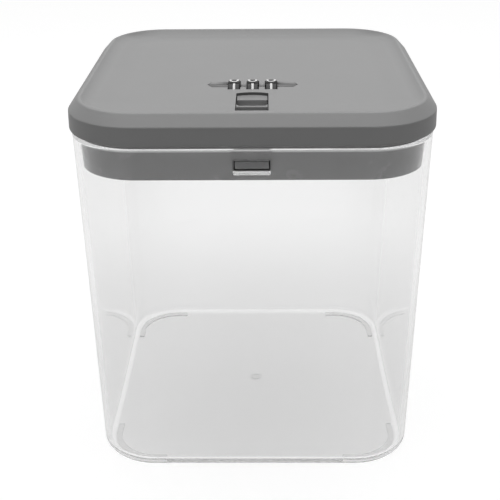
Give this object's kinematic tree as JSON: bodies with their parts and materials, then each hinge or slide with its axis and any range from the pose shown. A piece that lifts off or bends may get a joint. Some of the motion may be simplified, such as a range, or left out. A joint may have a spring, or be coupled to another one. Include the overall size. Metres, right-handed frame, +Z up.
{
  "type": "lockable storage box",
  "caption": "Clear square storage tub with a grey plug-in lid, locked by number dials, a finger slider, a front bolt and a rear tongue",
  "frame": {"origin": "on the table, under the middle of the tub", "axes": "+Z up, front with the slider and the bolt towards -Y, +X to the right seen from the front"},
  "size_m": [0.18, 0.18, 0.2031],
  "materials": {
    "clear_plastic": "clear polished moulding",
    "lid_plastic": "fine satin texture",
    "plug_plastic": "glossy moulding",
    "slider_plastic": "fine satin texture",
    "bolt_plastic": "glossy moulding",
    "dial_plastic": "glossy dark moulding",
    "ring_brass": "turned",
    "sheet_steel": "zinc plated",
    "screw_steel": "zinc plated",
    "spring_steel": "bright rolled"
  },
  "bodies": {
    "container": {"container": "clear_plastic"},
    "lid": {"lid_cover": "lid_plastic", "lid_plug": "plug_plastic", "lid_screws": "screw_steel", "lock_frame": "sheet_steel", "frame_screws": "screw_steel", "dial_spindle": "screw_steel", "spindle_clips": "spring_steel", "detent_spring": "spring_steel", "detent_screws": "screw_steel", "slider_rails": "sheet_steel", "rail_screws": "screw_steel", "slider_detent": "spring_steel", "bolt_guide": "sheet_steel", "guide_screws": "screw_steel"},
    "slider": {"slider_button": "slider_plastic", "gate_comb": "sheet_steel", "latch_bolt": "bolt_plastic", "slider_screws": "screw_steel"},
    "dial_left": {"dial_left": "dial_plastic", "code_ring_left": "ring_brass"},
    "dial_middle": {"dial_middle": "dial_plastic", "code_ring_middle": "ring_brass"},
    "dial_right": {"dial_right": "dial_plastic", "code_ring_right": "ring_brass"}
  },
  "joints": [
    {"name": "lid_tilt", "type": "hinge", "parent": "container", "child": "lid", "pos_m": [0, 0.08795, 0.1854], "axis": [-1, 0, 0], "range_deg": [0, 75]},
    {"name": "slider_lock", "type": "slide", "parent": "lid", "child": "slider", "axis": [0, -1, 0], "range_m": [0, 0.004]},
    {"name": "dial_left_turn", "type": "hinge", "parent": "lid", "child": "dial_left", "pos_m": [-0.0094, -0.031, 0.192], "axis": [1, 0, 0], "continuous": true},
    {"name": "dial_middle_turn", "type": "hinge", "parent": "lid", "child": "dial_middle", "pos_m": [0, -0.031, 0.192], "axis": [1, 0, 0], "continuous": true},
    {"name": "dial_right_turn", "type": "hinge", "parent": "lid", "child": "dial_right", "pos_m": [0.0094, -0.031, 0.192], "axis": [1, 0, 0], "continuous": true}
  ]
}
